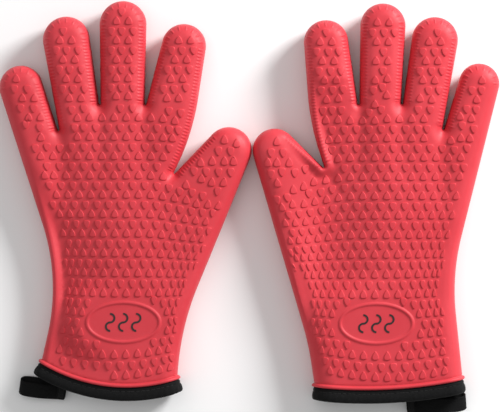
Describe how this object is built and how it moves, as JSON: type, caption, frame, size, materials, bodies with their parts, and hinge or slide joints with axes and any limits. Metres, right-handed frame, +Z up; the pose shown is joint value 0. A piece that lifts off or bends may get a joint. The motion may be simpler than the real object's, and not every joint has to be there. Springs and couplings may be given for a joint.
{
  "type": "heat resistant glove",
  "caption": "Pair of five-finger silicone oven gloves with drop-shaped grip relief, sewn cotton lining, bound cuff and hanging loop.",
  "frame": {"origin": "on the table, under the middle of the pair", "axes": "+Z up from the table, out of the backs of the hands; +Y towards the fingertips; +X across the pair, from the left glove to the right"},
  "size_m": [0.4242, 0.3506, 0.0316],
  "materials": {
    "silicone": "satin moulded silicone, raised drops and ribs",
    "lining": "black cotton knit",
    "binding": "black twill tape",
    "thread": "black polyester thread",
    "print": "matt black pad print"
  },
  "bodies": {
    "left_hand": {"left_palm_shell": "silicone", "left_palm_liner": "lining", "left_cuff_binding": "binding", "left_binding_stitches": "thread", "left_print_mark": "print", "left_loop_tab": "binding", "left_loop_tack": "thread"},
    "left_knuckles": {"left_knuckles_shell": "silicone", "left_knuckles_liner": "lining"},
    "left_little": {"left_little_shell": "silicone", "left_little_liner": "lining"},
    "left_ring": {"left_ring_shell": "silicone", "left_ring_liner": "lining"},
    "left_middle": {"left_middle_shell": "silicone", "left_middle_liner": "lining"},
    "left_index": {"left_index_shell": "silicone", "left_index_liner": "lining"},
    "left_thumb": {"left_thumb_shell": "silicone", "left_thumb_liner": "lining"},
    "left_loop": {"left_hanging_loop": "binding"},
    "right_hand": {"right_palm_shell": "silicone", "right_palm_liner": "lining", "right_cuff_binding": "binding", "right_binding_stitches": "thread", "right_print_mark": "print", "right_loop_tab": "binding", "right_loop_tack": "thread"},
    "right_knuckles": {"right_knuckles_shell": "silicone", "right_knuckles_liner": "lining"},
    "right_little": {"right_little_shell": "silicone", "right_little_liner": "lining"},
    "right_ring": {"right_ring_shell": "silicone", "right_ring_liner": "lining"},
    "right_middle": {"right_middle_shell": "silicone", "right_middle_liner": "lining"},
    "right_index": {"right_index_shell": "silicone", "right_index_liner": "lining"},
    "right_thumb": {"right_thumb_shell": "silicone", "right_thumb_liner": "lining"},
    "right_loop": {"right_hanging_loop": "binding"}
  },
  "joints": [
    {"name": "left_knuckles_bend", "type": "hinge", "parent": "left_hand", "child": "left_knuckles", "pos_m": [-0.12565, 0.04771, 0.015], "axis": [-0.997, -0.0771, 0], "range_deg": [-5, 60], "stiffness_Nm_per_rad": 0.6},
    {"name": "left_little_bend", "type": "hinge", "parent": "left_knuckles", "child": "left_little", "pos_m": [-0.18598, 0.07747, 0.015], "axis": [-0.9516, -0.3074, 0], "range_deg": [-5, 75], "stiffness_Nm_per_rad": 0.08},
    {"name": "left_ring_bend", "type": "hinge", "parent": "left_knuckles", "child": "left_ring", "pos_m": [-0.14909, 0.10303, 0.015], "axis": [-0.9869, -0.1616, 0], "range_deg": [-5, 75], "stiffness_Nm_per_rad": 0.08},
    {"name": "left_middle_bend", "type": "hinge", "parent": "left_knuckles", "child": "left_middle", "pos_m": [-0.10761, 0.10638, 0.015], "axis": [-1, 0.0052, 0], "range_deg": [-5, 75], "stiffness_Nm_per_rad": 0.08},
    {"name": "left_index_bend", "type": "hinge", "parent": "left_knuckles", "child": "left_index", "pos_m": [-0.063, 0.10146, 0.015], "axis": [-0.9796, 0.2011, 0], "range_deg": [-5, 75], "stiffness_Nm_per_rad": 0.08},
    {"name": "left_thumb_bend", "type": "hinge", "parent": "left_hand", "child": "left_thumb", "pos_m": [-0.03009, 0.02943, 0.015], "axis": [-0.8396, 0.5432, 0], "range_deg": [-5, 50], "stiffness_Nm_per_rad": 0.12},
    {"name": "left_loop_swing", "type": "hinge", "parent": "left_hand", "child": "left_loop", "pos_m": [-0.16595, -0.15714, 0.005], "axis": [0, 0, 1], "range_deg": [0, 95], "stiffness_Nm_per_rad": 0.01},
    {"name": "right_knuckles_bend", "type": "hinge", "parent": "right_hand", "child": "right_knuckles", "pos_m": [0.12755, 0.04801, 0.015], "axis": [-0.9965, 0.0833, 0], "range_deg": [-5, 60], "stiffness_Nm_per_rad": 0.6},
    {"name": "right_little_bend", "type": "hinge", "parent": "right_knuckles", "child": "right_little", "pos_m": [0.18802, 0.07936, 0.015], "axis": [-0.9632, 0.2689, 0], "range_deg": [-5, 75], "stiffness_Nm_per_rad": 0.08},
    {"name": "right_ring_bend", "type": "hinge", "parent": "right_knuckles", "child": "right_ring", "pos_m": [0.15149, 0.10347, 0.015], "axis": [-0.9877, 0.1564, 0], "range_deg": [-5, 75], "stiffness_Nm_per_rad": 0.08},
    {"name": "right_middle_bend", "type": "hinge", "parent": "right_knuckles", "child": "right_middle", "pos_m": [0.11191, 0.10733, 0.015], "axis": [-0.9994, 0.0349, 0], "range_deg": [-5, 75], "stiffness_Nm_per_rad": 0.08},
    {"name": "right_index_bend", "type": "hinge", "parent": "right_knuckles", "child": "right_index", "pos_m": [0.06941, 0.10396, 0.015], "axis": [-0.9936, -0.1132, 0], "range_deg": [-5, 75], "stiffness_Nm_per_rad": 0.08},
    {"name": "right_thumb_bend", "type": "hinge", "parent": "right_hand", "child": "right_thumb", "pos_m": [0.02906, 0.03575, 0.015], "axis": [-0.8581, -0.5135, 0], "range_deg": [-5, 50], "stiffness_Nm_per_rad": 0.12},
    {"name": "right_loop_swing", "type": "hinge", "parent": "right_hand", "child": "right_loop", "pos_m": [0.14355, -0.16924, 0.005], "axis": [0, 0, -1], "range_deg": [0, 95], "stiffness_Nm_per_rad": 0.01},
    {"name": "pair_lift", "type": "slide", "parent": "left_hand", "child": "right_hand", "axis": [0, 0, 1], "range_m": [0, 0.1]}
  ]
}
